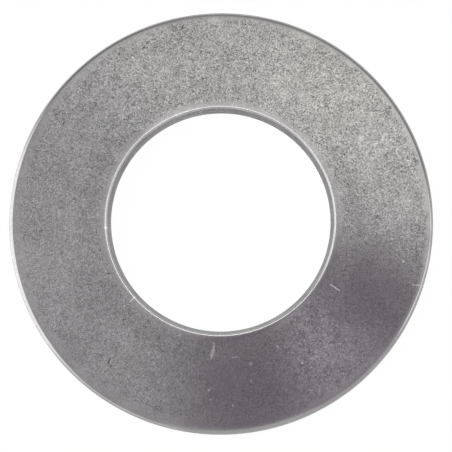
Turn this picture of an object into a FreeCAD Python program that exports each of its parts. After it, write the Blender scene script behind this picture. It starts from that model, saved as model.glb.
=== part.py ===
import FreeCAD, Part
import math
import os

import Sketcher

# Disc spring washer, drawn crown up: one flat steel ring pressed into a shallow cone.
# Millimetres and degrees, +Z up. The origin lies on the axis, in the plane that the rim rests on.

# Driving sizes. Each is set here alone and can be changed by itself.
SIZES = {
    "outer_diameter": 31.5,
    "inner_diameter": 16.3,
    "thickness": 1.25,
    # Fall of the cone from the bore to the rim
    "cone_height": 0.975,
    # Short upright wall at the bore's tight lower end, where the bolt passes
    "bore_land": 0.15,
    # Lean of the bore wall above its land, opening upwards
    "bore_flare_angle": 17.0,
    # Short upright wall just under the rim's top edge, its widest circle
    "rim_land": 0.2,
    # Edges rounded by tumbling
    "bore_lip_radius": 0.14,
    "bore_foot_radius": 0.12,
    "rim_edge_radius": 0.35,
    "seat_radius": 0.25,
}

CONE_ANGLE = "atan(2 * sizes.cone_height / (sizes.outer_diameter - sizes.inner_diameter))"


def make_sheet(doc):
    """Write the driving sizes to a sheet, one named cell each."""
    sheet = doc.addObject("Spreadsheet::Sheet", "sizes")
    for row, (name, value) in enumerate(SIZES.items(), start=1):
        sheet.set(f"A{row}", name)
        sheet.set(f"B{row}", str(value))
        sheet.setAlias(f"B{row}", name)
    return sheet


def origin_feature(body, role):
    """Return the body's own origin plane or axis of the given role."""
    return next(item for item in body.Origin.OriginFeatures if item.Role == role)


def rounding(before, corner, after, radius):
    """Return the start, middle and end of the arc that rounds a corner between two straight runs."""
    back = (before - corner).normalize()
    onward = (after - corner).normalize()
    half_angle = back.getAngle(onward) / 2
    setback = radius / math.tan(half_angle)
    depth = radius / math.sin(half_angle) - radius
    middle = corner + (back + onward).normalize() * depth
    return corner + back * setback, middle, corner + onward * setback


def sharp_corners():
    """Return the section's corners before rounding, anticlockwise from the bore's foot.

    They only start the sketch off: its constraints then settle every point.
    """
    bore = SIZES["inner_diameter"] / 2
    rim = SIZES["outer_diameter"] / 2
    slope = SIZES["cone_height"] / (rim - bore)
    cone = math.atan(slope)
    flare = math.radians(SIZES["bore_flare_angle"])
    upright = SIZES["thickness"] / math.cos(cone)

    foot = FreeCAD.Vector(bore, (rim - bore) * slope, 0)
    rim_top = FreeCAD.Vector(rim, upright, 0)
    undercut_top = rim_top - FreeCAD.Vector(0, SIZES["rim_edge_radius"] + SIZES["rim_land"], 0)
    undercut = undercut_top.y * math.cos(cone)
    seat = undercut_top - FreeCAD.Vector(math.sin(cone), math.cos(cone), 0) * undercut
    flare_foot = foot + FreeCAD.Vector(0, SIZES["bore_foot_radius"] + SIZES["bore_land"], 0)
    climb = upright + foot.y - flare_foot.y
    reach = climb / (math.cos(flare) + slope * math.sin(flare))
    lip = flare_foot + FreeCAD.Vector(math.sin(flare), math.cos(flare), 0) * reach
    return foot, seat, undercut_top, rim_top, lip, flare_foot


def draw_section(body):
    """Draw the ring's cross-section: a slanted bar with rounded corners and two short upright lands."""
    sketch = body.newObject("Sketcher::SketchObject", "section")
    sketch.AttachmentSupport = [(origin_feature(body, "XZ_Plane"), "")]
    sketch.MapMode = "FlatFace"

    foot, seat, undercut_top, rim_top, lip, flare_foot = sharp_corners()
    seat_in, seat_mid, seat_out = rounding(foot, seat, undercut_top, SIZES["seat_radius"])
    rim_in, rim_mid, rim_out = rounding(undercut_top, rim_top, lip, SIZES["rim_edge_radius"])
    lip_in, lip_mid, lip_out = rounding(rim_top, lip, flare_foot, SIZES["bore_lip_radius"])
    foot_in, foot_mid, foot_out = rounding(flare_foot, foot, seat, SIZES["bore_foot_radius"])

    lower_face = sketch.addGeometry(Part.LineSegment(foot_out, seat_in))
    seat_arc = sketch.addGeometry(Part.Arc(seat_in, seat_mid, seat_out))
    undercut = sketch.addGeometry(Part.LineSegment(seat_out, undercut_top))
    rim_land = sketch.addGeometry(Part.LineSegment(undercut_top, rim_in))
    rim_arc = sketch.addGeometry(Part.Arc(rim_in, rim_mid, rim_out))
    upper_face = sketch.addGeometry(Part.LineSegment(rim_out, lip_in))
    lip_arc = sketch.addGeometry(Part.Arc(lip_in, lip_mid, lip_out))
    flare = sketch.addGeometry(Part.LineSegment(lip_out, flare_foot))
    bore_land = sketch.addGeometry(Part.LineSegment(flare_foot, foot_in))
    foot_arc = sketch.addGeometry(Part.Arc(foot_in, foot_mid, foot_out))

    # Each rounding runs smoothly into the straight run before it and the one after it
    start, end = 1, 2
    smooth = [
        (lower_face, seat_arc, undercut),
        (rim_land, rim_arc, upper_face),
        (upper_face, lip_arc, flare),
        (bore_land, foot_arc, lower_face),
    ]
    for run_before, arc, run_after in smooth:
        sketch.addConstraint(Sketcher.Constraint("Tangent", run_before, end, arc, start))
        sketch.addConstraint(Sketcher.Constraint("Tangent", arc, end, run_after, start))
    sketch.addConstraint(Sketcher.Constraint("Coincident", undercut, end, rim_land, start))
    sketch.addConstraint(Sketcher.Constraint("Coincident", flare, end, bore_land, start))

    # The two faces are parallel, the lands upright, and the undercut square to the faces
    horizontal_axis, origin_point = -1, 1
    sketch.addConstraint(Sketcher.Constraint("Parallel", lower_face, upper_face))
    sketch.addConstraint(Sketcher.Constraint("Perpendicular", undercut, lower_face))
    sketch.addConstraint(Sketcher.Constraint("Vertical", rim_land))
    sketch.addConstraint(Sketcher.Constraint("Vertical", bore_land))
    # The disc rests on the lowest circle of its seat rounding
    sketch.addConstraint(Sketcher.Constraint("Tangent", seat_arc, horizontal_axis))

    def dimension(name, formula, *parts):
        """Add a dimension to the sketch and tie it to the sheet."""
        index = sketch.addConstraint(Sketcher.Constraint(*parts))
        sketch.renameConstraint(index, name)
        sketch.setExpression("Constraints." + name, formula)

    centre = (horizontal_axis, origin_point)
    bore = SIZES["inner_diameter"] / 2
    rim = SIZES["outer_diameter"] / 2
    cone = math.atan(SIZES["cone_height"] / (rim - bore))
    lean = math.radians(90 + SIZES["bore_flare_angle"])
    dimension("bore_reach", "sizes.inner_diameter / 2", "DistanceX", *centre, bore_land, start, bore)
    dimension("rim_reach", "sizes.outer_diameter / 2", "DistanceX", *centre, rim_land, start, rim)
    dimension("sheet", "sizes.thickness", "Distance", lower_face, start, upper_face, SIZES["thickness"])
    dimension("fall", "-" + CONE_ANGLE, "Angle", lower_face, -cone)
    dimension("lean", "-90 deg - sizes.bore_flare_angle * 1 deg", "Angle", flare, -lean)
    dimension("land_in", "sizes.bore_land", "DistanceY", bore_land, end, bore_land, start, SIZES["bore_land"])
    dimension("land_out", "sizes.rim_land", "DistanceY", rim_land, start, rim_land, end, SIZES["rim_land"])
    dimension("lip", "sizes.bore_lip_radius", "Radius", lip_arc, SIZES["bore_lip_radius"])
    dimension("foot", "sizes.bore_foot_radius", "Radius", foot_arc, SIZES["bore_foot_radius"])
    dimension("edge", "sizes.rim_edge_radius", "Radius", rim_arc, SIZES["rim_edge_radius"])
    dimension("seat", "sizes.seat_radius", "Radius", seat_arc, SIZES["seat_radius"])
    return sketch


def make_disc_spring(doc):
    """Turn the section once round the axis into the finished ring."""
    body = doc.addObject("PartDesign::Body", "disc_spring")
    body.Label = "disc_spring"
    sketch = draw_section(body)
    ring = body.newObject("PartDesign::Revolution", "ring")
    ring.Profile = sketch
    ring.ReferenceAxis = (sketch, ["V_Axis"])
    ring.Angle = 360
    body.Tip = ring
    return body


def check(doc, bodies):
    """Stop if any object failed or any sub-part isn't one sound solid."""
    for item in doc.Objects:
        if "Invalid" in item.State or "Error" in item.State:
            raise RuntimeError(f"{item.Label} failed: {item.State}")
    for body in bodies:
        shape = body.Shape
        if shape.isNull() or not shape.isValid() or len(shape.Solids) != 1:
            raise RuntimeError(f"{body.Label} isn't one sound solid")


def main():
    """Build the disc spring and write it to its STEP file."""
    doc = FreeCAD.newDocument("disc_spring_washer")
    make_sheet(doc)
    bodies = [make_disc_spring(doc)]
    doc.recompute()
    check(doc, bodies)
    os.makedirs("parts", exist_ok=True)
    for body in bodies:
        body.Shape.exportStep(f"parts/{body.Label}.step")
        box = body.Shape.optimalBoundingBox()
        print(f"{body.Label}: {box.XLength:.3f} x {box.YLength:.3f} x {box.ZLength:.3f} mm, "
              f"lowest {box.ZMin:.4f}, volume {body.Shape.Volume:.2f} mm3")


main()
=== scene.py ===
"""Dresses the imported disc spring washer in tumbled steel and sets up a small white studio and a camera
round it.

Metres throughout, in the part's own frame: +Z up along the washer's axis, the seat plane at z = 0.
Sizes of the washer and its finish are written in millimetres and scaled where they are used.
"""

import logging
import math
from dataclasses import dataclass, field
from enum import Enum
from typing import NamedTuple, Optional, Union

import bmesh
import bpy
from mathutils import Matrix, Vector


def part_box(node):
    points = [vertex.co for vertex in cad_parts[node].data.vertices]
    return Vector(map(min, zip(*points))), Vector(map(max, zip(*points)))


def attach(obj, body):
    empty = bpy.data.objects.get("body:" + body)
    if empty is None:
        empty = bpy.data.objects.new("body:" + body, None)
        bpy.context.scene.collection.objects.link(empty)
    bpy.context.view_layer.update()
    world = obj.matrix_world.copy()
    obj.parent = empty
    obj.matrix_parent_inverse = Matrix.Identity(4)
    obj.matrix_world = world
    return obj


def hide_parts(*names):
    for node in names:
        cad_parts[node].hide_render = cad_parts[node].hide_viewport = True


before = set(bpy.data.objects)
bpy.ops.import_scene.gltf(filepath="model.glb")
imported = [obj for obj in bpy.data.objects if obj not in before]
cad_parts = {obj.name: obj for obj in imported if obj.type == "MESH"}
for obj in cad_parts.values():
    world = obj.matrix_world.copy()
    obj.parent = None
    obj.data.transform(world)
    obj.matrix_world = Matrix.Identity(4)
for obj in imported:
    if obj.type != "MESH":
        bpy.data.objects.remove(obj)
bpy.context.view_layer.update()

LOG = logging.getLogger("disc_spring_scene")
BODY = "root"
NODE = "disc_spring"
# A millimetre in metres, and a micrometre in millimetres
MM = 0.001
MICRON = 0.001
ORIGIN = (0, 0, 0)
UP = (0, 0, 1)
# The tilt from straight up of a level direction, in degrees
LEVEL_TILT = 90
# Takes the height out of a place that it multiplies
FLATTEN = (1, 1, 0)

Socket = bpy.types.NodeSocket
Signal = Union[float, Socket]
Colour = tuple[float, float, float]


# The ring's shape

@dataclass(frozen=True)
class Corner:
    """One corner of the ring's section, in millimetres: its place and the radius that rounds it."""

    radius: float
    height: float
    rounding: float = 0.0
    segments: int = 1

    def point(self) -> Vector:
        """Return the corner as a flat vector of radius and height."""
        return Vector((self.radius, self.height))


@dataclass(frozen=True)
class RingSection:
    """The slanted bar that is turned round the axis, in millimetres and degrees."""

    outer_diameter: float = 31.5
    inner_diameter: float = 16.3
    thickness: float = 1.25
    cone_height: float = 0.975
    bore_land: float = 0.15
    bore_flare: float = 17.0
    rim_land: float = 0.2
    lip_rounding: float = 0.11
    foot_rounding: float = 0.12
    rim_rounding: float = 0.35
    seat_rounding: float = 0.25
    # Tumbling takes the upper face down a little towards both of its edges
    lip_crown_width: float = 0.3
    lip_crown_turn: float = 2.5
    rim_crown_width: float = 0.5
    rim_crown_turn: float = 1.5
    crown_rounding: float = 5.0
    # How many steps each rounding is made of
    lip_segments: int = 10
    foot_segments: int = 6
    rim_segments: int = 14
    seat_segments: int = 8
    crown_segments: int = 6

    @property
    def slope(self) -> float:
        """Return the cone's rise for each millimetre towards the axis."""
        return 2 * self.cone_height / (self.outer_diameter - self.inner_diameter)

    def corners(self) -> list[Corner]:
        """Work out the section's corners before they are rounded.

        Returns:
            The corners in order round the section, from the bore's foot outwards.
        """
        bore = self.inner_diameter / 2
        rim = self.outer_diameter / 2
        cone = math.atan(self.slope)
        upright = self.thickness / math.cos(cone)
        foot = Vector((bore, self.cone_height))
        rim_top = Vector((rim, upright))
        undercut_top = rim_top - Vector((0, self.rim_rounding + self.rim_land))
        square_to_face = Vector((math.sin(cone), math.cos(cone)))
        seat = undercut_top - square_to_face * undercut_top.y * math.cos(cone)
        flare_foot = foot + Vector((0, self.foot_rounding + self.bore_land))

        flare = math.radians(90 - self.bore_flare)
        lip = meet(rim_top, -cone, flare_foot, flare)
        lip_crown = lip + heading(-cone) * self.lip_crown_width
        lip = meet(lip_crown, -cone + math.radians(self.lip_crown_turn), flare_foot, flare)
        rim_crown = rim_top - heading(-cone) * self.rim_crown_width
        rim_top = meet(rim_crown, -cone - math.radians(self.rim_crown_turn), rim_top, math.pi / 2)
        return [
            Corner(*foot, self.foot_rounding, self.foot_segments),
            Corner(*seat, self.seat_rounding, self.seat_segments),
            Corner(*undercut_top),
            Corner(*rim_top, self.rim_rounding, self.rim_segments),
            Corner(*rim_crown, self.crown_rounding, self.crown_segments),
            Corner(*lip_crown, self.crown_rounding, self.crown_segments),
            Corner(*lip, self.lip_rounding, self.lip_segments),
            Corner(*flare_foot),
        ]


def heading(angle: float) -> Vector:
    """Return the flat unit vector at an angle in radians from the outward direction."""
    return Vector((math.cos(angle), math.sin(angle)))


def meet(first: Vector, first_angle: float, second: Vector, second_angle: float) -> Vector:
    """Find where two straight lines of the section cross.

    Args:
        first: A point on the first line.
        first_angle: The first line's angle in radians.
        second: A point on the second line.
        second_angle: The second line's angle in radians.

    Returns:
        The crossing point.
    """
    along, across = heading(first_angle), heading(second_angle)
    gap = second - first
    reach = gap.cross(across) / along.cross(across)
    return first + along * reach


@dataclass(frozen=True)
class SteppedRing:
    """Turns a section into a closed ring and rounds its circular edges."""

    section: RingSection = field(default_factory=RingSection)
    steps: int = 720
    # How near in millimetres a point has to lie to count as on a circle
    tolerance: float = 0.005

    def setback(self, before: Corner, corner: Corner, after: Corner) -> float:
        """Work out how far a corner's rounding reaches along its two straight runs.

        Args:
            before: The corner before it.
            corner: The corner that is rounded.
            after: The corner after it.

        Returns:
            The reach in millimetres.
        """
        back = before.point() - corner.point()
        onward = after.point() - corner.point()
        return corner.rounding / math.tan(back.angle(onward) / 2)

    def circle_edges(self, mesh: bmesh.types.BMesh, corner: Corner) -> list[bmesh.types.BMEdge]:
        """Collect the edges of the circle that a corner was turned into.

        Args:
            mesh: The turned ring.
            corner: The corner whose circle is wanted.

        Returns:
            The circle's edges.
        """
        near = self.tolerance * MM
        on_circle = {
            vert for vert in mesh.verts
            if abs(vert.co.z - corner.height * MM) < near
            and abs(vert.co.xy.length - corner.radius * MM) < near
        }
        return [edge for edge in mesh.edges if on_circle.issuperset(edge.verts)]

    def build(self, lowest: float) -> bmesh.types.BMesh:
        """Turn, round and seat the ring.

        Args:
            lowest: The height in metres of the plane that the ring stands on.

        Returns:
            The finished ring as a bmesh.
        """
        corners = self.section.corners()
        mesh = bmesh.new()
        verts = [mesh.verts.new((corner.radius * MM, 0, corner.height * MM)) for corner in corners]
        for start, end in zip(verts, verts[1:] + verts[:1]):
            mesh.edges.new((start, end))
        bmesh.ops.spin(mesh, geom=mesh.verts[:] + mesh.edges[:], cent=ORIGIN, axis=UP,
                       angle=math.tau, steps=self.steps, use_merge=True)
        for index, corner in enumerate(corners):
            if corner.rounding:
                reach = self.setback(corners[index - 1], corner, corners[(index + 1) % len(corners)])
                bmesh.ops.bevel(mesh, geom=self.circle_edges(mesh, corner), offset=reach * MM,
                                offset_type="OFFSET", segments=corner.segments, profile=0.5,
                                affect="EDGES", clamp_overlap=False, material=-1)
        drop = min(vert.co.z for vert in mesh.verts) - lowest
        bmesh.ops.translate(mesh, verts=mesh.verts, vec=(0, 0, -drop))
        bmesh.ops.recalc_face_normals(mesh, faces=mesh.faces)
        for face in mesh.faces:
            face.smooth = True
        return mesh


def add_object(name: str, shape: bmesh.types.BMesh, material: bpy.types.Material) -> bpy.types.Object:
    """Turn a finished bmesh into an object of the scene.

    Args:
        name: The name of the object and its mesh.
        shape: The finished bmesh, which is freed.
        material: The material of all its faces.

    Returns:
        The object, at the origin and unturned.
    """
    mesh = bpy.data.meshes.new(name)
    shape.to_mesh(mesh)
    shape.free()
    mesh.materials.append(material)
    made = bpy.data.objects.new(name, mesh)
    bpy.context.scene.collection.objects.link(made)
    return made


# Shader graphs

class Graph:
    """Adds nodes to one shader tree and joins them."""

    def __init__(self, tree: bpy.types.NodeTree) -> None:
        """Start with an empty tree."""
        self.tree = tree
        tree.nodes.clear()

    def node(self, kind: str, **settings: object) -> bpy.types.Node:
        """Add a node and set its properties.

        Args:
            kind: The node's type name.
            **settings: Properties of the node.

        Returns:
            The new node.
        """
        made = self.tree.nodes.new(kind)
        for name, value in settings.items():
            setattr(made, name, value)
        return made

    def feed(self, socket: Socket, value: object) -> None:
        """Join a socket to another node, or set it to a plain value.

        Args:
            socket: The input to be fed.
            value: The other node's output, or the plain value.
        """
        if isinstance(value, Socket):
            self.tree.links.new(value, socket)
        else:
            socket.default_value = value

    def number(self, operation: str, *values: Signal) -> Socket:
        """Apply an operation to numbers.

        Args:
            operation: The operation's name.
            *values: Its operands.

        Returns:
            The result's socket.
        """
        made = self.node("ShaderNodeMath", operation=operation)
        for socket, value in zip(made.inputs, values):
            self.feed(socket, value)
        return made.outputs[0]

    def clamp(self, value: Signal, low: float, high: float) -> Socket:
        """Hold a number between two limits."""
        return self.number("MINIMUM", self.number("MAXIMUM", value, low), high)

    def vector_math(self, operation: str, *values: object) -> bpy.types.Node:
        """Apply an operation to vectors.

        Args:
            operation: The operation's name.
            *values: Its operands.

        Returns:
            The operation's node.
        """
        made = self.node("ShaderNodeVectorMath", operation=operation)
        for socket, value in zip(made.inputs, values):
            self.feed(socket, value)
        return made

    def vector(self, operation: str, *values: object) -> Socket:
        """Apply an operation to vectors that gives a vector."""
        return self.vector_math(operation, *values).outputs["Vector"]

    def measure(self, operation: str, *values: object) -> Socket:
        """Apply an operation to vectors that gives a number."""
        return self.vector_math(operation, *values).outputs["Value"]

    def scale(self, vector: object, factor: Signal) -> Socket:
        """Scale a vector.

        Args:
            vector: The vector.
            factor: The number that it is multiplied by.

        Returns:
            The result's socket.
        """
        made = self.vector_math("SCALE", vector)
        self.feed(made.inputs["Scale"], factor)
        return made.outputs["Vector"]

    def mix(self, share: Signal, first: Signal, second: Signal) -> Socket:
        """Blend two numbers.

        Args:
            share: How much of the second goes in, from 0 to 1.
            first: The first number.
            second: The second number.

        Returns:
            The result's socket.
        """
        made = self.node("ShaderNodeMix", data_type="FLOAT")
        for socket, value in zip((made.inputs[0], made.inputs[2], made.inputs[3]), (share, first, second)):
            self.feed(socket, value)
        return made.outputs[0]

    def ease(self, value: Signal, start: float, end: float) -> Socket:
        """Rise smoothly from 0 to 1 as a value goes from start to end.

        Args:
            value: The value.
            start: Where the result is 0.
            end: Where the result is 1.

        Returns:
            The result's socket.
        """
        made = self.node("ShaderNodeMapRange", interpolation_type="SMOOTHSTEP")
        for name, setting in (("Value", value), ("From Min", start), ("From Max", end)):
            self.feed(made.inputs[name], setting)
        return made.outputs["Result"]

    def noise(self, point: Socket, cell: float, gain: float = 0.5) -> Socket:
        """Add smooth noise of two layers, centred on 0.

        Args:
            point: Coordinates in millimetres.
            cell: The size of one cell of the noise in millimetres.
            gain: The strength of the finer layer against the coarser one.

        Returns:
            The noise's socket, from about -0.5 to 0.5.
        """
        made = self.node("ShaderNodeTexNoise", noise_dimensions="3D")
        for name, setting in (("Vector", point), ("Scale", 1 / cell), ("Detail", 1.0), ("Roughness", gain)):
            self.feed(made.inputs[name], setting)
        return self.number("SUBTRACT", made.outputs[0], 0.5)

    def spot(self, direction: Socket, middle: Vector, reach: float, softness: float) -> Socket:
        """Mark a round patch of directions.

        Args:
            direction: The direction to be tested, as a unit vector.
            middle: The unit vector to the patch's middle.
            reach: How far the full patch reaches from its middle, in degrees.
            softness: How far its edge fades beyond that, in degrees.

        Returns:
            The socket that is 1 in the patch and 0 beyond its edge.
        """
        nearness = self.measure("DOT_PRODUCT", direction, middle)
        outside = math.cos(math.radians(reach + softness))
        inside = math.cos(math.radians(reach))
        return self.ease(nearness, outside, inside)

    def blend_shaders(self, share: Signal, first: Socket, second: Socket) -> Socket:
        """Blend two shaders.

        Args:
            share: How much of the second goes in, from 0 to 1.
            first: The first shader.
            second: The second shader.

        Returns:
            The result's socket.
        """
        made = self.node("ShaderNodeMixShader")
        for socket, value in zip(made.inputs, (share, first, second)):
            self.feed(socket, value)
        return made.outputs["Shader"]

    def surface(self, shader: Socket) -> None:
        """Give the material its finished shader."""
        self.feed(self.node("ShaderNodeOutputMaterial").inputs["Surface"], shader)


def new_material(name: str) -> tuple[bpy.types.Material, Graph]:
    """Make a material without nodes.

    Args:
        name: The material's name.

    Returns:
        The material and the graph of its empty tree.
    """
    material = bpy.data.materials.new(name)
    material.use_nodes = True
    return material, Graph(material.node_tree)


def opaque(colour: Colour) -> tuple[float, float, float, float]:
    """Return a colour as a shader's socket takes it."""
    return (*colour, 1.0)


# The steel's finish

class MarkKind(Enum):
    """What a mark does to the steel: its tone against the face's, and its depth in micrometres."""

    # The bright scratch is a real scratch drawn as a painted highlight; the dark kind marks a real scratch
    # at the lower left and a painted shadow beside the bright one
    SCRATCH_WITH_PAINTED_HIGHLIGHT = (3.2, 0.2)
    FAINT_SCRATCH = (2.0, 0.2)
    DARK_SCRATCH_AND_PAINTED_SHADOW = (0.3, 3.0)
    SPECK = (2.5, 0.0)
    PIT = (0.2, 6.0)
    SMUDGE = (0.84, 0.0)

    def __init__(self, tone: float, depth: float) -> None:
        """Name the two parts of the value."""
        self.tone = tone
        self.depth = depth


@dataclass(frozen=True)
class Mark:
    """One mark on the upper face, in millimetres: a line from start to end, or a dot without an end."""

    kind: MarkKind
    start: tuple[float, float]
    end: Optional[tuple[float, float]] = None
    width: float = 0.07
    # The share of the width where the mark has its full strength
    core: float = 0.2

    def mask(self, graph: Graph, flat: Socket) -> Socket:
        """Work out how far inside the mark a point lies.

        Args:
            graph: The material's graph.
            flat: Coordinates in millimetres with their height taken out.

        Returns:
            The socket that is 1 on the mark's middle line and 0 outside it.
        """
        start = Vector((*self.start, 0))
        offset = graph.vector("SUBTRACT", flat, start)
        if self.end is not None:
            run = Vector((*self.end, 0)) - start
            share = graph.measure("DOT_PRODUCT", offset, run / run.length_squared)
            carried = graph.scale(run, graph.clamp(share, 0.0, 1.0))
            offset = graph.vector("SUBTRACT", offset, carried)
        distance = graph.measure("LENGTH", offset)
        return graph.ease(distance, self.width, self.width * self.core)


FACE_MARKS = (
    # Two short scratches in the dark sector, the first with a painted highlight along it and a painted
    # shadow beside it, the second in three parts
    Mark(MarkKind.SCRATCH_WITH_PAINTED_HIGHLIGHT, (8.16, -4.75), (8.78, -5.17)),
    Mark(MarkKind.DARK_SCRATCH_AND_PAINTED_SHADOW, (8.34, -4.72), (8.80, -5.04), 0.05),
    Mark(MarkKind.FAINT_SCRATCH, (-0.46, -9.09), (-0.50, -9.55), 0.10),
    Mark(MarkKind.FAINT_SCRATCH, (-0.51, -9.57), (-0.62, -9.97), 0.17),
    Mark(MarkKind.FAINT_SCRATCH, (-0.62, -9.97), (-0.67, -10.22), 0.08),
    # Single lines at the lower left, the right rim and the bottom
    Mark(MarkKind.DARK_SCRATCH_AND_PAINTED_SHADOW, (-8.12, -10.11), (-8.27, -10.48), 0.08),
    Mark(MarkKind.FAINT_SCRATCH, (14.20, -4.72), (14.69, -4.72)),
    Mark(MarkKind.FAINT_SCRATCH, (0.90, -10.10), (1.30, -10.10), 0.05),
    # A small nick beside the right rim
    Mark(MarkKind.SMUDGE, (15.36, 0.60), (15.12, 0.02), 0.16),
    Mark(MarkKind.SMUDGE, (15.20, 0.25), (15.12, 0.05), 0.12),
    # Knocks across the lip of the bore
    Mark(MarkKind.FAINT_SCRATCH, (-6.65, -6.00), (-6.30, -5.66), 0.06),
    Mark(MarkKind.SPECK, (-8.41, -0.53), (-8.60, -0.53), 0.06),
    # Bright specks
    Mark(MarkKind.SPECK, (6.05, -10.52), width=0.11),
    Mark(MarkKind.SPECK, (2.24, -10.59), width=0.16),
    Mark(MarkKind.SPECK, (13.52, -2.98), width=0.13),
    Mark(MarkKind.SPECK, (-6.59, 12.32), width=0.12),
    Mark(MarkKind.SPECK, (4.22, -9.32), width=0.10),
    Mark(MarkKind.SPECK, (2.28, -11.83), width=0.11),
    Mark(MarkKind.SPECK, (-0.82, -12.51), width=0.12),
    Mark(MarkKind.SPECK, (0.93, -13.63), width=0.11),
    Mark(MarkKind.SPECK, (-0.72, -13.19), width=0.10),
    # Dark pits at the upper left
    Mark(MarkKind.PIT, (-11.76, 7.32), (-11.69, 7.46), 0.09),
    Mark(MarkKind.PIT, (-5.79, 13.05), (-5.74, 13.11), 0.11),
    # Soft duller patches
    Mark(MarkKind.SMUDGE, (9.64, 3.26), (10.24, 0.02), 1.1),
    Mark(MarkKind.SMUDGE, (-9.03, 4.57), (-8.80, 4.20), 1.0),
)


class Quality(Enum):
    """What changes from zone to zone, by its name in Zone."""

    TONE = "tone"
    ROUGHNESS = "roughness"
    GRAIN = "grain"


@dataclass(frozen=True)
class Zone:
    """How one part of the steel's surface is finished."""

    tone: float
    roughness: float
    grain: float

    def value(self, quality: Quality) -> float:
        """Return one quality of the zone."""
        return getattr(self, quality.value)


class Ramp(NamedTuple):
    """Where a zone fades in, in millimetres: absent at start, full at end."""

    start: float
    end: float


@dataclass(frozen=True)
class ZoneMasks:
    """Where each zone lies, as sockets that are 1 inside it and 0 outside."""

    pitted: Socket
    burnish: Socket
    rim_edge: Socket
    lip: Socket
    bore_wall: Socket
    rim_wall: Socket


@dataclass(frozen=True)
class SteelPlace:
    """The place on the washer that is shaded, as sockets in millimetres."""

    point: Socket
    flat: Socket
    radius: Socket
    height: Socket

    @classmethod
    def read(cls, graph: Graph) -> "SteelPlace":
        """Read the place from the piece's own coordinates.

        Args:
            graph: The material's graph.

        Returns:
            The place.
        """
        point = graph.scale(graph.node("ShaderNodeTexCoord").outputs["Object"], 1 / MM)
        flat = graph.vector("MULTIPLY", point, FLATTEN)
        parts = graph.node("ShaderNodeSeparateXYZ")
        graph.feed(parts.inputs[0], point)
        return cls(point, flat, graph.measure("LENGTH", flat), parts.outputs["Z"])


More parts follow.
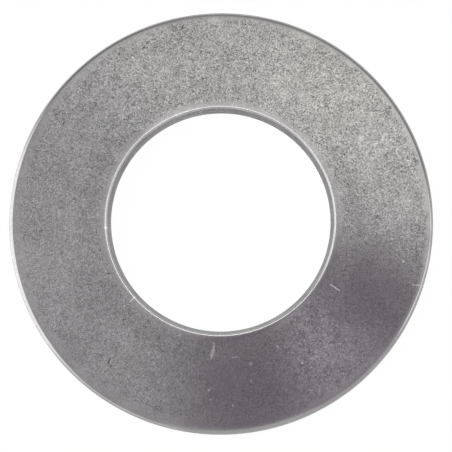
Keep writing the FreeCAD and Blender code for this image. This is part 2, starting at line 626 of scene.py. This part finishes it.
@dataclass(frozen=True)
class TumbledSteel:
    """Bare spring steel from the tumbling drum: finely pitted faces, burnished edges, rougher cut walls
    whose darker tone is painted shade.
    """

    name: str = "tumbled_spring_steel"
    section: RingSection = RingSection()
    tint: Colour = (1.0, 0.975, 0.985)
    face: Zone = Zone(0.50, 0.17, 1.0)
    pitted: Zone = Zone(0.457, 0.205, 1.1)
    burnish: Zone = Zone(0.545, 0.16, 0.4)
    rim_edge: Zone = Zone(0.52, 0.11, 0.15)
    # The lip's lighter tone is partly burnish and partly a painted highlight along the rounded edge of the
    # bore.
    lip: Zone = Zone(0.56, 0.15, 0.15)
    # The dark tones of the bore wall and the rim wall are painted shade for the dim floor and room that they
    # reflect; their roughness and grain are the steel's own.
    bore_wall: Zone = Zone(0.235, 0.42, 0.5)
    rim_wall: Zone = Zone(0.36, 0.38, 0.3)
    # The distance from the axis at which each zone fades in
    inner_pitted_from: Ramp = Ramp(11.0, 10.0)
    outer_pitted_from: Ramp = Ramp(14.0, 14.5)
    inner_burnish_from: Ramp = Ramp(9.15, 8.75)
    outer_burnish_from: Ramp = Ramp(14.75, 15.2)
    rim_edge_from: Ramp = Ramp(15.30, 15.42)
    lip_from: Ramp = Ramp(8.66, 8.56)
    bore_wall_from: Ramp = Ramp(8.43, 8.38)
    rim_wall_from: Ramp = Ramp(15.62, 15.68)
    # The height at which the bore's wall and lip begin
    bore_from: Ramp = Ramp(1.0, 1.03)
    outer_pitted_share: float = 0.4
    # How far the mottling moves the edges of the pitted and burnished zones
    wander: float = 0.9
    # Sizes of the noise cells in millimetres, and how far each lightens and darkens the steel
    fine_cell: float = 0.078
    fine_swing: float = 2.6
    grain_cell: float = 0.20
    grain_swing: float = 1.2
    # How strong the finer layer of these two is
    grain_gain: float = 0.6
    mottle_cell: float = 0.75
    mottle_swing: float = 0.40
    cloud_cell: float = 3.0
    cloud_swing: float = 0.35
    # The pitting is stronger in some patches than in others
    patch_cell: float = 1.4
    patch_swing: float = 0.5
    pitting_level: float = 0.97
    # Per millimetre across the disc, the pitting grows stronger and the rubbed rim narrower
    pitting_slope: tuple[float, float, float] = (0.004, 0.012, 0.0)
    rub_slope: tuple[float, float, float] = (0.010, 0.010, 0.0)
    # The darker the pitting, the rougher the steel
    pit_roughness: float = 0.10
    smoothest: float = 0.1
    roughest: float = 0.6
    # The turned bore wall has fine streaks round the axis
    streak_cell: float = 0.13
    streak_swing: float = 1.0
    streak_draw: tuple[float, float, float] = (0.1, 0.1, 1.0)
    # Relief in millimetres
    fine_relief: float = 0.0025
    grain_relief: float = 0.0020
    marks: tuple[Mark, ...] = FACE_MARKS

    def masks(self, graph: Graph, place: SteelPlace, mottle: Socket) -> ZoneMasks:
        """Work out where each zone lies, the pitted and burnished ones with an uneven edge.

        Args:
            graph: The material's graph.
            place: The place that is shaded.
            mottle: The noise that moves the uneven edges.

        Returns:
            The zones' masks.
        """
        wander = graph.number("ADD", place.radius, graph.number("MULTIPLY", mottle, self.wander))
        rub = graph.number("SUBTRACT", wander, graph.measure("DOT_PRODUCT", place.point, self.rub_slope))
        outer_pitted = graph.ease(wander, *self.outer_pitted_from)
        outer_pitted = graph.number("MULTIPLY", outer_pitted, self.outer_pitted_share)
        inner_burnish = graph.ease(wander, *self.inner_burnish_from)
        in_bore = graph.ease(place.height, *self.bore_from)
        return ZoneMasks(
            pitted=graph.number("MAXIMUM", graph.ease(wander, *self.inner_pitted_from), outer_pitted),
            burnish=graph.number("MAXIMUM", inner_burnish, graph.ease(rub, *self.outer_burnish_from)),
            rim_edge=graph.ease(place.radius, *self.rim_edge_from),
            lip=graph.number("MULTIPLY", graph.ease(place.radius, *self.lip_from), in_bore),
            bore_wall=graph.number("MULTIPLY", graph.ease(place.radius, *self.bore_wall_from), in_bore),
            rim_wall=graph.ease(place.radius, *self.rim_wall_from),
        )

    def zoned(self, graph: Graph, masks: ZoneMasks, quality: Quality) -> Signal:
        """Carry one quality of the zones through their masks.

        Args:
            graph: The material's graph.
            masks: The zones' masks.
            quality: The quality that is wanted.

        Returns:
            The quality at the place that is shaded.
        """
        value: Signal = self.face.value(quality)
        layers = (
            (masks.pitted, self.pitted),
            (masks.burnish, self.burnish),
            (masks.rim_edge, self.rim_edge),
            (masks.lip, self.lip),
            (masks.bore_wall, self.bore_wall),
            (masks.rim_wall, self.rim_wall),
        )
        for mask, zone in layers:
            value = graph.mix(mask, value, zone.value(quality))
        return value

    def pitting_strength(self, graph: Graph, place: SteelPlace, masks: ZoneMasks) -> Socket:
        """Work out how strong the pitting is.

        Args:
            graph: The material's graph.
            place: The place that is shaded.
            masks: The zones' masks.

        Returns:
            The strength, about 1 on the face.
        """
        patches = graph.noise(place.point, self.patch_cell)
        patches = graph.number("MULTIPLY_ADD", patches, self.patch_swing, self.pitting_level)
        slope = graph.measure("DOT_PRODUCT", place.point, self.pitting_slope)
        strength = graph.number("ADD", slope, patches)
        return graph.number("MULTIPLY", self.zoned(graph, masks, Quality.GRAIN), strength)

    def streaks(self, graph: Graph, place: SteelPlace, masks: ZoneMasks) -> Socket:
        """Draw the fine streaks round the bore's wall.

        Args:
            graph: The material's graph.
            place: The place that is shaded.
            masks: The zones' masks.

        Returns:
            The streaks, which are 0 outside the bore's wall.
        """
        drawn_out = graph.vector("MULTIPLY", place.point, self.streak_draw)
        return graph.number("MULTIPLY", graph.noise(drawn_out, self.streak_cell), masks.bore_wall)

    def marked(self, graph: Graph, place: SteelPlace, tone: Signal, relief: Signal) -> tuple[Signal, Signal]:
        """Lay the marks over the upper face.

        Args:
            graph: The material's graph.
            place: The place that is shaded.
            tone: The steel's tone without marks.
            relief: The steel's relief without marks, in millimetres.

        Returns:
            The tone and the relief with the marks.
        """
        upper = graph.number("GREATER_THAN", place.height, self.mid_height(graph, place.radius))
        for mark in self.marks:
            mask = graph.number("MULTIPLY", mark.mask(graph, place.flat), upper)
            tone = graph.number("MULTIPLY", tone, graph.mix(mask, 1.0, mark.kind.tone))
            relief = graph.number("MULTIPLY_ADD", mask, -mark.kind.depth * MICRON, relief)
        return tone, relief

    def mid_height(self, graph: Graph, radius: Socket) -> Socket:
        """Work out the height of the sheet's middle at a radius.

        Args:
            graph: The material's graph.
            radius: The radius in millimetres.

        Returns:
            The height in millimetres.
        """
        rim_middle = self.section.thickness / 2
        rise = graph.number("SUBTRACT", self.section.outer_diameter / 2, radius)
        return graph.number("MULTIPLY_ADD", rise, self.section.slope, rim_middle)

    def shade(self, graph: Graph, tone: Signal, roughness: Signal, relief: Signal) -> None:
        """Finish the material as bare metal.

        Args:
            graph: The material's graph.
            tone: How light the steel is.
            roughness: How rough it is.
            relief: Its relief in millimetres.
        """
        bump = graph.node("ShaderNodeBump")
        bump.inputs["Strength"].default_value = 1.0
        bump.inputs["Distance"].default_value = MM
        graph.feed(bump.inputs["Height"], relief)
        metal = graph.node("ShaderNodeBsdfPrincipled")
        metal.inputs["Metallic"].default_value = 1.0
        graph.feed(metal.inputs["Base Color"], graph.scale(self.tint, tone))
        graph.feed(metal.inputs["Roughness"], roughness)
        graph.feed(metal.inputs["Normal"], bump.outputs["Normal"])
        graph.surface(metal.outputs["BSDF"])

    def material(self) -> bpy.types.Material:
        """Make the steel's material.

        Returns:
            The material, driven by the piece's own coordinates.
        """
        material, graph = new_material(self.name)
        place = SteelPlace.read(graph)
        fine = graph.noise(place.point, self.fine_cell, self.grain_gain)
        grain = graph.noise(place.point, self.grain_cell, self.grain_gain)
        mottle = graph.noise(place.point, self.mottle_cell)
        cloud = graph.noise(place.point, self.cloud_cell)
        masks = self.masks(graph, place, mottle)
        strength = self.pitting_strength(graph, place, masks)

        pitting = graph.number("MULTIPLY", fine, self.fine_swing)
        pitting = graph.number("MULTIPLY_ADD", grain, self.grain_swing, pitting)
        pitting = graph.number("MULTIPLY_ADD", mottle, self.mottle_swing, pitting)
        pitting = graph.number("MULTIPLY", pitting, strength)
        swing = graph.number("MULTIPLY_ADD", cloud, self.cloud_swing, pitting)
        swing = graph.number("MULTIPLY_ADD", self.streaks(graph, place, masks), self.streak_swing, swing)
        tone = self.zoned(graph, masks, Quality.TONE)
        tone = graph.number("MULTIPLY", tone, graph.number("ADD", swing, 1.0))

        relief = graph.number("MULTIPLY", fine, self.fine_relief)
        relief = graph.number("MULTIPLY_ADD", grain, self.grain_relief, relief)
        relief = graph.number("MULTIPLY", relief, strength)
        tone, relief = self.marked(graph, place, tone, relief)

        roughness = self.zoned(graph, masks, Quality.ROUGHNESS)
        roughness = graph.number("MULTIPLY_ADD", pitting, -self.pit_roughness, roughness)
        roughness = graph.clamp(roughness, self.smoothest, self.roughest)
        self.shade(graph, tone, roughness, relief)
        return material


@dataclass(frozen=True)
class DiscSpring:
    """The washer itself: one dished ring of spring steel."""

    ring: SteppedRing = field(default_factory=SteppedRing)
    finish: TumbledSteel = field(default_factory=TumbledSteel)
    name: str = "disc_spring_ring"
    # How strongly the wide faces keep their flat shading beside the small roundings
    face_weight: int = 100

    def make(self) -> bpy.types.Object:
        """Build the ring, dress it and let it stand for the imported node.

        Returns:
            The ring's object.
        """
        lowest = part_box(NODE)[0].z
        piece = add_object(self.name, self.ring.build(lowest), self.finish.material())
        piece.modifiers.new("even_shading", "WEIGHTED_NORMAL").weight = self.face_weight
        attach(piece, BODY)
        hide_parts(NODE)
        LOG.info("%s: %d faces", self.name, len(piece.data.polygons))
        return piece


# The studio

def seen_from(azimuth: float, tilt: float) -> Vector:
    """Point from the washer into the studio.

    Args:
        azimuth: Degrees clockwise from the picture's right, so 90 is its lower side.
        tilt: Degrees from straight up.

    Returns:
        The unit vector.
    """
    turn, lean = math.radians(azimuth), math.radians(tilt)
    return Vector((math.sin(lean) * math.cos(turn), -math.sin(lean) * math.sin(turn), math.cos(lean)))


def facing(place: Vector, direction: Vector) -> Matrix:
    """Set a lamp or a camera up.

    Args:
        place: Where it stands, in metres.
        direction: The unit vector from what it looks at back to it.

    Returns:
        The matrix that puts it there.
    """
    turn = Vector(UP).rotation_difference(direction)
    return Matrix.Translation(place) @ turn.to_matrix().to_4x4()


def only_reflected(item: bpy.types.Object) -> None:
    """Let an object show in the steel's reflections and nowhere else."""
    item.visible_camera = False
    item.visible_diffuse = False
    item.visible_shadow = False
    item.visible_transmission = False


@dataclass(frozen=True)
class Panel:
    """A round soft-edged panel of the light tent, as the washer sees it: angles in degrees."""

    azimuth: float
    tilt: float
    reach: float
    softness: float
    level: float
    tint: Colour = (1.0, 1.0, 1.0)

    def glow(self) -> Colour:
        """Return the panel's tint at its level."""
        red, green, blue = self.tint
        return self.level * red, self.level * green, self.level * blue


TENT_PANELS = (
    # The tent's roof, and its lighter parts towards the top and the upper right
    Panel(0, 0, 45, 25, 0.50, (1.0, 0.995, 1.012)),
    Panel(274, 40, 8, 24, 0.86, (1.0, 1.01, 0.975)),
    Panel(315, 38, 8, 24, 0.90, (1.0, 1.015, 0.965)),
    # Low down, the room's grey floor at the lower right and its dark end at the top
    Panel(62, 70, 30, 25, 0.62),
    Panel(268, 86, 42, 23, 0.42),
    Panel(305, 86, 42, 8, 0.36),
    Panel(234, 70, 14, 10, 0.22),
    # Small patches of the roof that are paler, at the top, the upper right and the left
    Panel(251, 14, 4.5, 4, 0.92),
    Panel(332, 27, 4, 5, 1.04, (1.0, 1.005, 0.98)),
    Panel(343, 24, 2, 4, 0.86, (1.0, 1.005, 0.98)),
    Panel(326, 17, 2, 4, 0.60),
    Panel(198, 20.5, 2, 4, 0.53),
    # One that is darker, at the lower left
    Panel(138, 14.6, 1, 2.5, 0.42),
    # A softbox on the left and a strip of three on the right
    Panel(177, 66, 24, 16, 1.6),
    Panel(350, 56, 4, 5, 1.7),
    Panel(5, 56, 4, 5, 1.6),
    Panel(20, 56, 4, 5, 1.9),
    # The dark things round the camera, and the paler gap between them
    Panel(34, 14, 6, 6, 0.35, (1.0, 0.88, 1.035)),
    Panel(87, 12.5, 3.5, 6, 0.21, (1.0, 0.87, 1.035)),
    Panel(4, 16, 3, 4.6, 0.19, (1.0, 0.86, 1.035)),
    Panel(72, 7.5, 2.5, 4, 0.12, (1.0, 0.90, 1.03)),
    Panel(0, 10.5, 1.5, 3, 0.22, (1.0, 0.90, 1.03)),
    Panel(75, 15, 1, 4, 0.19, (1.0, 0.90, 1.03)),
    Panel(41, 13.3, 1.5, 3.5, 0.52, (1.0, 0.975, 1.03)),
    # A lamp nearly overhead, which only the narrow lip of the bore reflects
    Panel(256, 6.2, 5, 5, 3.3),
)


@dataclass(frozen=True)
class LightTent:
    """The tent of panels round the washer, which only shows in the steel's reflections."""

    radius: float = 0.25
    segments: int = 48
    rings: int = 24
    bare: Colour = (1.0, 1.0, 1.0)
    panels: tuple[Panel, ...] = TENT_PANELS

    def make(self) -> bpy.types.Object:
        """Build the tent as a dome whose glow changes with direction.

        Returns:
            The tent's object.
        """
        dome = bmesh.new()
        bmesh.ops.create_uvsphere(dome, u_segments=self.segments, v_segments=self.rings, radius=self.radius)
        bmesh.ops.bisect_plane(dome, geom=dome.verts[:] + dome.edges[:] + dome.faces[:],
                               plane_co=ORIGIN, plane_no=UP, clear_inner=True)
        tent = add_object("light_tent", dome, self.material())
        only_reflected(tent)
        LOG.info("light tent: %d panels", len(self.panels))
        return tent

    def material(self) -> bpy.types.Material:
        """Make the tent's glow: white, with each panel laid over the ones before it.

        Returns:
            The glowing material.
        """
        material, graph = new_material("tent_panels")
        coordinates = graph.node("ShaderNodeTexCoord").outputs["Object"]
        direction = graph.vector("NORMALIZE", coordinates)
        colour: object = opaque(self.bare)
        for panel in self.panels:
            middle = seen_from(panel.azimuth, panel.tilt)
            blend = graph.node("ShaderNodeMix", data_type="RGBA")
            graph.feed(blend.inputs[0], graph.spot(direction, middle, panel.reach, panel.softness))
            graph.feed(blend.inputs[6], colour)
            graph.feed(blend.inputs[7], opaque(panel.glow()))
            colour = blend.outputs[2]
        glow = graph.node("ShaderNodeEmission")
        graph.feed(glow.inputs["Color"], colour)
        graph.surface(glow.outputs["Emission"])
        return material


@dataclass(frozen=True)
class FloorCard:
    """A glowing card on the floor beside the washer's left rim, seen only in the steel's reflections."""

    # Its inner and outer radius and its height above the floor, in millimetres
    inner: float = 16.8
    outer: float = 90.0
    height: float = 0.05
    steps: int = 90
    # Where it glows, in degrees
    azimuth: float = 172.0
    reach: float = 12.0
    softness: float = 28.0
    level: float = 2.4
    # Makes up for the steel's tint, so that the rim looks white there
    tint: Colour = (0.975, 1.0, 0.99)

    def make(self) -> bpy.types.Object:
        """Cut the card as a flat ring that only glows on its left.

        Returns:
            The card's object.
        """
        sheet = bmesh.new()
        ends = [sheet.verts.new((radius * MM, 0, self.height * MM)) for radius in (self.inner, self.outer)]
        edge = sheet.edges.new(ends)
        bmesh.ops.spin(sheet, geom=[*ends, edge], cent=ORIGIN, axis=UP,
                       angle=math.tau, steps=self.steps, use_merge=True)
        card = add_object("floor_card", sheet, self.material())
        only_reflected(card)
        LOG.info("floor card: glows within %.0f degrees", self.reach + self.softness)
        return card

    def material(self) -> bpy.types.Material:
        """Make the card's glow, which fades into the bare floor on both sides.

        Returns:
            The material, clear where it doesn't glow.
        """
        material, graph = new_material("card_glow")
        coordinates = graph.node("ShaderNodeTexCoord").outputs["Object"]
        direction = graph.vector("NORMALIZE", graph.vector("MULTIPLY", coordinates, FLATTEN))
        middle = seen_from(self.azimuth, LEVEL_TILT)
        share = graph.spot(direction, middle, self.reach, self.softness)
        clear = graph.node("ShaderNodeBsdfTransparent")
        glow = graph.node("ShaderNodeEmission")
        glow.inputs["Color"].default_value = opaque(self.tint)
        glow.inputs["Strength"].default_value = self.level
        graph.surface(graph.blend_shaders(share, clear.outputs["BSDF"], glow.outputs["Emission"]))
        return material


@dataclass(frozen=True)
class Studio:
    """The white surroundings: a pale floor, a white background and one soft lamp."""

    # Half the floor's width in metres
    floor_size: float = 1.2
    floor_colour: Colour = (0.86, 0.86, 0.86)
    # How far the floor is drawn as plain white where a camera or a reflection sees it
    floor_white: float = 0.985
    room_colour: Colour = (1.0, 1.0, 1.0)
    room_light: float = 0.75
    lamp_power: float = 1.3
    lamp_size: float = 0.35
    lamp_distance: float = 0.6
    lamp_azimuth: float = 200.0
    lamp_tilt: float = 35.0

    def seen(self, graph: Graph) -> Socket:
        """Tell the rays that see the surroundings from those that only carry light.

        Args:
            graph: The graph of the floor's material or of the world.

        Returns:
            The socket that is 1 for camera, glossy and transmission rays and 0 for the rest.
        """
        path = graph.node("ShaderNodeLightPath").outputs
        mirrored = graph.number("MAXIMUM", path["Is Glossy Ray"], path["Is Transmission Ray"])
        return graph.number("MAXIMUM", path["Is Camera Ray"], mirrored)

    def floor_material(self) -> bpy.types.Material:
        """Make the floor's material.

        Returns:
            The material, matt but nearly plain white where it is seen.
        """
        material, graph = new_material("pale_floor")
        matt = graph.node("ShaderNodeBsdfDiffuse")
        matt.inputs["Color"].default_value = opaque(self.floor_colour)
        white = graph.node("ShaderNodeEmission")
        share = graph.number("MULTIPLY", self.seen(graph), self.floor_white)
        graph.surface(graph.blend_shaders(share, matt.outputs["BSDF"], white.outputs["Emission"]))
        return material

    def floor(self) -> bpy.types.Object:
        """Lay the pale floor under the washer.

        Returns:
            The floor's object.
        """
        sheet = bmesh.new()
        bmesh.ops.create_grid(sheet, x_segments=1, y_segments=1, size=self.floor_size)
        floor = add_object("studio_floor", sheet, self.floor_material())
        return floor

    def world(self) -> None:
        """Make the surroundings white to the eye and softer as a light."""
        world = bpy.data.worlds.new("white_room")
        world.use_nodes = True
        bpy.context.scene.world = world
        graph = Graph(world.node_tree)
        background = graph.node("ShaderNodeBackground")
        background.inputs["Color"].default_value = opaque(self.room_colour)
        graph.feed(background.inputs["Strength"], graph.mix(self.seen(graph), self.room_light, 1.0))
        output = graph.node("ShaderNodeOutputWorld")
        graph.feed(output.inputs["Surface"], background.outputs["Background"])

    def lamp(self) -> bpy.types.Object:
        """Hang one soft lamp over the washer's left side.

        Returns:
            The lamp's object.
        """
        light = bpy.data.lights.new("soft_lamp", "AREA")
        light.shape = "DISK"
        light.size = self.lamp_size
        light.energy = self.lamp_power
        lamp = bpy.data.objects.new("soft_lamp", light)
        bpy.context.scene.collection.objects.link(lamp)
        towards = seen_from(self.lamp_azimuth, self.lamp_tilt)
        lamp.matrix_world = facing(towards * self.lamp_distance, towards)
        lamp.visible_glossy = False
        return lamp

    def make(self) -> None:
        """Set up the floor, the world and the lamp."""
        self.floor()
        self.world()
        self.lamp()
        LOG.info("studio: floor, world and one lamp")


@dataclass(frozen=True)
class PhotoCamera:
    """The camera at the photograph's angle, a little below straight above in the picture."""

    azimuth: float = 75.7
    tilt: float = 6.4
    distance: float = 0.2259
    lens: float = 241.15
    sensor: float = 36.0
    # Where the middle of the picture falls beside the washer's axis, in millimetres
    aim_right: float = 0.365
    aim_up: float = -0.169
    nearest: float = 0.01
    farthest: float = 10.0

    def make(self) -> bpy.types.Object:
        """Place the camera and hand it to the scene.

        Returns:
            The camera's object.
        """
        towards = seen_from(self.azimuth, self.tilt)
        first = Vector(UP).rotation_difference(towards)
        aim = first @ Vector((self.aim_right * MM, self.aim_up * MM, 0))
        place = towards * self.distance
        data = bpy.data.cameras.new("photo_camera")
        data.sensor_width = self.sensor
        data.lens = self.lens
        data.clip_start = self.nearest
        data.clip_end = self.farthest
        camera = bpy.data.objects.new("photo_camera", data)
        camera.matrix_world = facing(place, (place - aim).normalized())
        bpy.context.scene.collection.objects.link(camera)
        bpy.context.scene.camera = camera
        LOG.info("camera: %.1f mm lens at %.0f mm", self.lens, self.distance / MM)
        return camera


def main() -> None:
    """Build the washer and its studio."""
    logging.basicConfig(level=logging.INFO, format="%(message)s")
    bpy.context.scene.view_settings.view_transform = "Standard"
    PhotoCamera().make()
    DiscSpring().make()
    LightTent().make()
    FloorCard().make()
    Studio().make()


if __name__ == "__main__":
    main()
